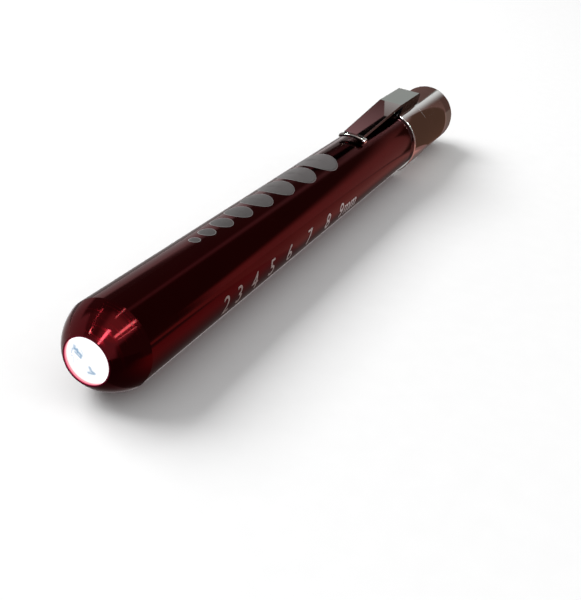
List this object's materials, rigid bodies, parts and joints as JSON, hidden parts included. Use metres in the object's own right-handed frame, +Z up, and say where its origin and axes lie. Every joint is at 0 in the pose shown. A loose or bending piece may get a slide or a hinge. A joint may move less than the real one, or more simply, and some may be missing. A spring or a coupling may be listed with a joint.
{
  "type": "penlight",
  "caption": "Slim penlight with a domed nose lamp, a pupil gauge along the barrel, a sprung pocket clip and a screwed tail cap with a push-button switch.",
  "frame": {"origin": "on the barrel's axis, at the middle of its plain cylinder between the domed nose and the collar", "axes": "+X along the axis and out of the nose, +Z up through the middle of the pocket clip, +Y to the left of the nose direction"},
  "size_m": [0.1563, 0.015, 0.018],
  "materials": {
    "red_anodised_aluminium": "dark red anodised, glossy",
    "clear_acrylic": "clear, polished",
    "plated_reflector": "vacuum plated, bright",
    "clear_epoxy": "clear, moulded",
    "tinned_steel": "tinned",
    "lamp_phosphor": "matt yellow",
    "white_plastic": "moulded, matt",
    "board_laminate": "green solder mask",
    "resistor_ceramic": "black glaze",
    "contact_brass": "bare, pressed",
    "cell_steel": "nickel plated",
    "cell_jacket": "plain printed film",
    "spring_steel": "nickel plated wire",
    "turned_brass": "turned",
    "black_plastic": "moulded, matt",
    "natural_plastic": "moulded, matt",
    "chromed_button": "bright chrome plate",
    "chromed_cap": "bright chrome plate",
    "chromed_clip": "bright chrome plate"
  },
  "bodies": {
    "barrel": {"barrel": "red_anodised_aluminium", "front_lens": "clear_acrylic", "reflector": "plated_reflector", "led_body": "clear_epoxy", "led_leads": "tinned_steel", "led_die": "lamp_phosphor", "led_holder": "white_plastic", "led_board": "board_laminate", "board_resistor": "resistor_ceramic", "front_contact": "contact_brass", "front_cell": "cell_steel", "front_cell_jacket": "cell_jacket", "rear_cell": "cell_steel", "rear_cell_jacket": "cell_jacket"},
    "clip": {"pocket_clip": "chromed_clip"},
    "tail_cap": {"tail_cap": "chromed_cap", "retaining_ring": "turned_brass", "spring_plate": "contact_brass", "battery_spring": "spring_steel", "switch_housing": "black_plastic", "switch_cover": "black_plastic", "switch_contact": "contact_brass", "return_spring": "spring_steel"},
    "button": {"push_button": "chromed_button", "switch_plunger": "natural_plastic"}
  },
  "joints": [
    {"name": "cap_withdraw", "type": "slide", "parent": "barrel", "child": "clip", "axis": [-1, 0, 0], "range_m": [0, 0.0114]},
    {"name": "cap_turn", "type": "hinge", "parent": "clip", "child": "tail_cap", "pos_m": [-0.06855, 0, 0], "axis": [-1, 0, 0], "range_deg": [0, 4104]},
    {"name": "button_press", "type": "slide", "parent": "tail_cap", "child": "button", "axis": [1, 0, 0], "range_m": [0, 0.0026], "stiffness_N_per_m": 700, "springref_m": -0.0005, "deforming": ["return_spring"]}
  ],
  "couplings": [
    {"joint": "cap_withdraw", "follows": "cap_turn", "m_per_rad": 0.00015915}
  ]
}
